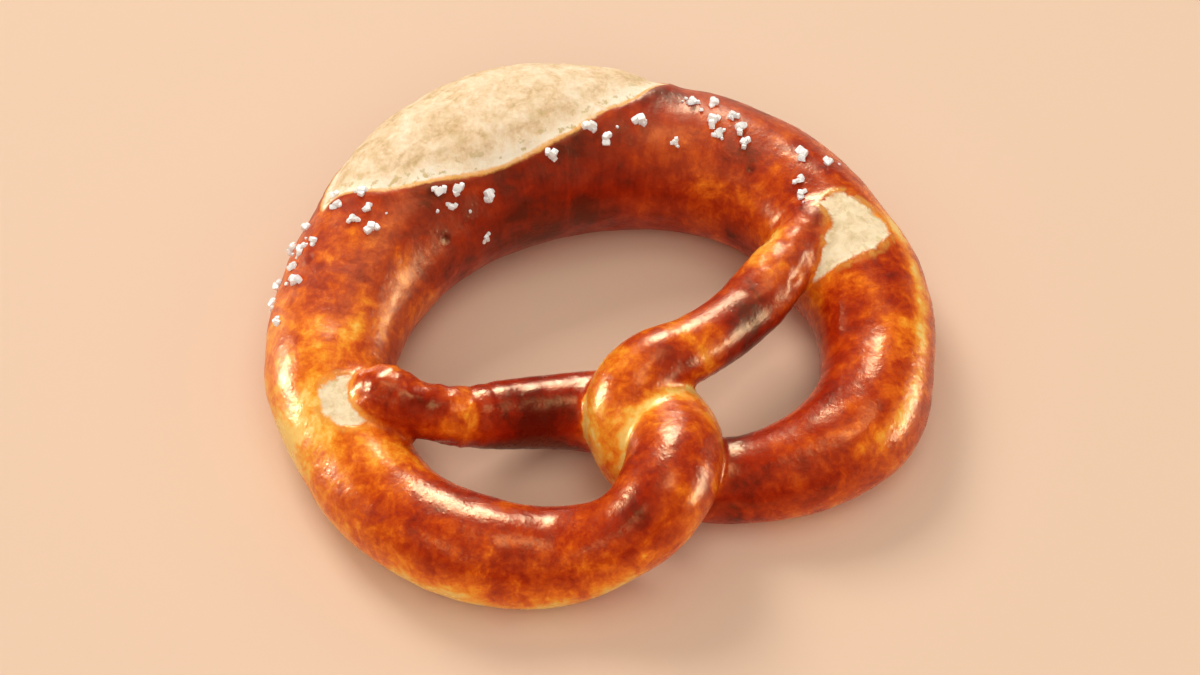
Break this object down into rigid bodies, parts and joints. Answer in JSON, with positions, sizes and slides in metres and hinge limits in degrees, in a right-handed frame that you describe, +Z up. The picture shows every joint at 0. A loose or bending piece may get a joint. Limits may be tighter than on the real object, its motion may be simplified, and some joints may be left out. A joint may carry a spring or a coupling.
{
  "type": "soft pretzel",
  "caption": "Soft pretzel: one rope of dough with a fat split belly, two loops and a single twist, its arms laid on the loops, with coarse salt on the crust.",
  "frame": {"origin": "under the middle of the pretzel's bounding box, on the plane it rests on", "axes": "+X across the two loops, towards the loop that carries the upper arm's tip; +Y from the twist to the belly; +Z up"},
  "size_m": [0.1602, 0.1463, 0.0414],
  "materials": {
    "crust": "satin",
    "salt": "satin"
  },
  "bodies": {
    "root": {"pretzel": "crust", "salt_01": "salt", "salt_02": "salt", "salt_03": "salt", "salt_04": "salt", "salt_05": "salt", "salt_06": "salt", "salt_07": "salt", "salt_08": "salt", "salt_09": "salt", "salt_10": "salt", "salt_11": "salt", "salt_12": "salt", "salt_13": "salt", "salt_14": "salt", "salt_15": "salt", "salt_16": "salt", "salt_17": "salt", "salt_18": "salt", "salt_19": "salt", "salt_20": "salt", "salt_21": "salt", "salt_22": "salt", "salt_23": "salt", "salt_24": "salt", "salt_25": "salt", "salt_26": "salt", "salt_27": "salt", "salt_28": "salt", "salt_29": "salt", "salt_30": "salt", "salt_31": "salt", "salt_32": "salt", "salt_33": "salt", "salt_34": "salt", "salt_35": "salt", "salt_36": "salt"}
  },
  "joints": []
}
